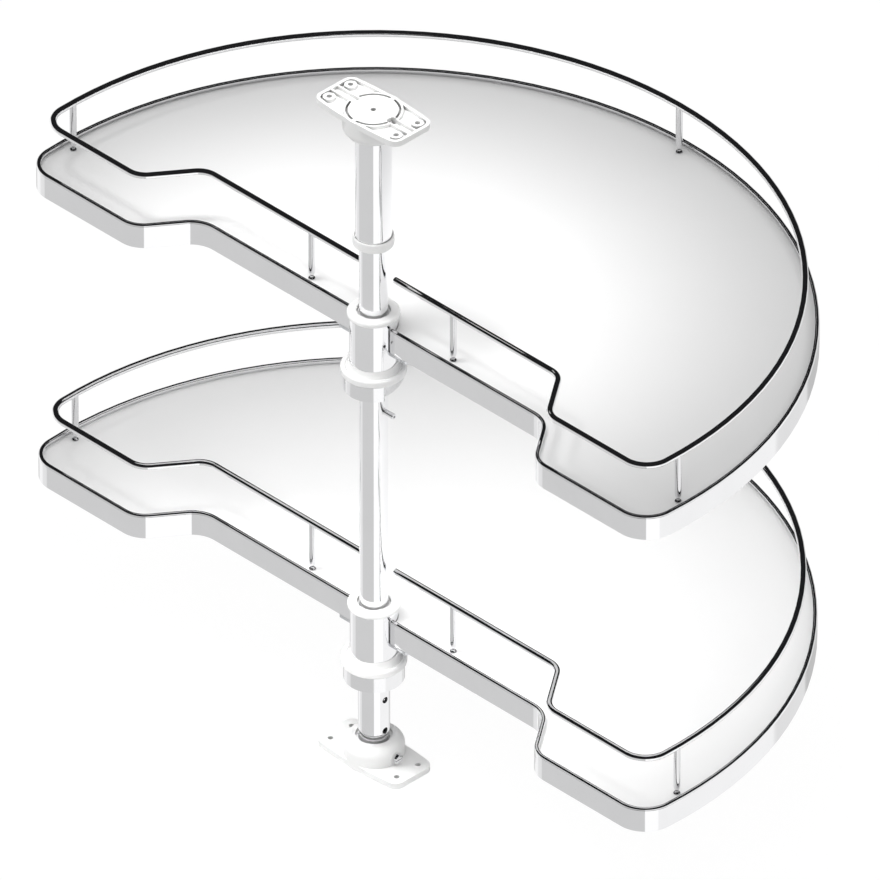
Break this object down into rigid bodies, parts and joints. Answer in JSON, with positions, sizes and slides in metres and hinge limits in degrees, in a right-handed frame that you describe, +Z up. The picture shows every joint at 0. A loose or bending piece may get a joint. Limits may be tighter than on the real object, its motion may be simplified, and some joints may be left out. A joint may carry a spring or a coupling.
{
  "type": "corner carousel cabinet fitting",
  "caption": "Half-moon trays with rim bands and gallery rails on a telescopic pole between a floor and a ceiling bracket, each tray turning on its own hub.",
  "frame": {"origin": "pole axis on the floor bracket's mounting face, at the centre of its four fixing holes", "axes": "+Z up along the pole, -Y towards the straight front of the trays, +X to the right seen from the front"},
  "size_m": [0.76, 0.43, 0.675],
  "materials": {
    "chrome_tube": "polished chrome plate on steel",
    "rim_metal": "satin bright plated strip",
    "cast_metal": "plated casting",
    "white_moulding": "white moulded plastic",
    "natural_plastic": "natural acetal",
    "white_board": "white melamine facing on particle board",
    "zinc_steel": "bright zinc plate",
    "black_screw": "black oxide"
  },
  "bodies": {
    "pole": {"base_bracket": "white_moulding", "base_reducer": "white_moulding", "base_clamp_screw": "zinc_steel", "base_clamp_nut": "zinc_steel", "pole_foot": "cast_metal", "joining_sleeve": "chrome_tube", "joining_set_screws": "black_screw", "inner_pole": "chrome_tube", "pole_top_guide": "natural_plastic", "pole_stop_screw": "zinc_steel", "lower_bearing_cup": "cast_metal", "lower_cup_screw": "zinc_steel", "lower_thrust_washer": "natural_plastic", "lower_journal": "white_moulding"},
    "upper_carrier": {"upper_bearing_cup": "cast_metal", "upper_cup_screw": "zinc_steel", "upper_thrust_washer": "natural_plastic", "upper_journal": "white_moulding"},
    "top_post": {"outer_tube": "chrome_tube", "lock_ring": "white_moulding", "lock_ring_screw": "zinc_steel", "top_bracket": "white_moulding", "top_clamp_screw": "zinc_steel", "top_clamp_nut": "zinc_steel"},
    "lower_tray": {"lower_hub_sleeve": "chrome_tube", "lower_hub_flange": "white_moulding", "lower_hub_dish": "white_moulding", "lower_support_plate": "zinc_steel", "lower_panel_screws": "zinc_steel", "lower_panel": "white_board", "lower_rim_band": "rim_metal", "lower_rail": "chrome_tube", "lower_post_left": "chrome_tube", "lower_post_front_left": "chrome_tube", "lower_post_front_right": "chrome_tube", "lower_post_right": "chrome_tube", "lower_post_rear": "chrome_tube"},
    "upper_tray": {"upper_hub_sleeve": "chrome_tube", "upper_hub_flange": "white_moulding", "upper_hub_dish": "white_moulding", "upper_support_plate": "zinc_steel", "upper_panel_screws": "zinc_steel", "upper_panel": "white_board", "upper_rim_band": "rim_metal", "upper_rail": "chrome_tube", "upper_post_left": "chrome_tube", "upper_post_front_left": "chrome_tube", "upper_post_front_right": "chrome_tube", "upper_post_right": "chrome_tube", "upper_post_rear": "chrome_tube"}
  },
  "joints": [
    {"name": "lower_tray_turn", "type": "hinge", "parent": "pole", "child": "lower_tray", "pos_m": [0, 0, 0.1545], "axis": [0, 0, 1], "continuous": true},
    {"name": "upper_tray_height", "type": "slide", "parent": "pole", "child": "upper_carrier", "axis": [0, 0, 1], "range_m": [-0.015, 0.015]},
    {"name": "upper_tray_turn", "type": "hinge", "parent": "upper_carrier", "child": "upper_tray", "pos_m": [0, 0, 0.4585], "axis": [0, 0, 1], "continuous": true},
    {"name": "top_post_height", "type": "slide", "parent": "pole", "child": "top_post", "axis": [0, 0, 1], "range_m": [-0.015, 0.04]}
  ]
}
